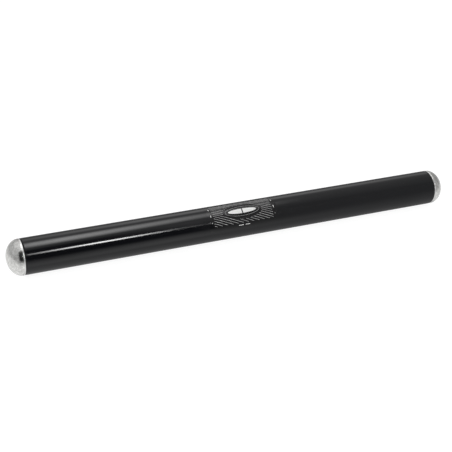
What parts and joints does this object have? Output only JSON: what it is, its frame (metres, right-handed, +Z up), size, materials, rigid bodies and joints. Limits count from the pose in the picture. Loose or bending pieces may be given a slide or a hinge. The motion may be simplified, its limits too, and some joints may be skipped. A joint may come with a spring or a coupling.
{
  "type": "devil stick",
  "caption": "Centre stick for juggling: a long round glossy black tube with a low satin aluminium dome closing each end and a printed band round the middle.",
  "frame": {"origin": "the balance point: the middle of the stick, on its axis", "axes": "+X along the stick towards the right dome, -Y towards the front, +Z up; the printed label faces front and up"},
  "size_m": [0.5332, 0.0401, 0.0401],
  "materials": {
    "black_tube": "gloss",
    "printed_film": "gloss",
    "cast_dome": "satin",
    "rubber": "matte",
    "beech": "matte",
    "zinc_steel": "satin"
  },
  "bodies": {
    "root": {"tube": "black_tube", "centre_label": "printed_film", "left_dome": "cast_dome", "left_gasket": "rubber", "left_o_ring": "rubber", "left_plug": "beech", "left_stud": "zinc_steel", "right_dome": "cast_dome", "right_gasket": "rubber", "right_o_ring": "rubber", "right_plug": "beech", "right_stud": "zinc_steel"}
  },
  "joints": []
}
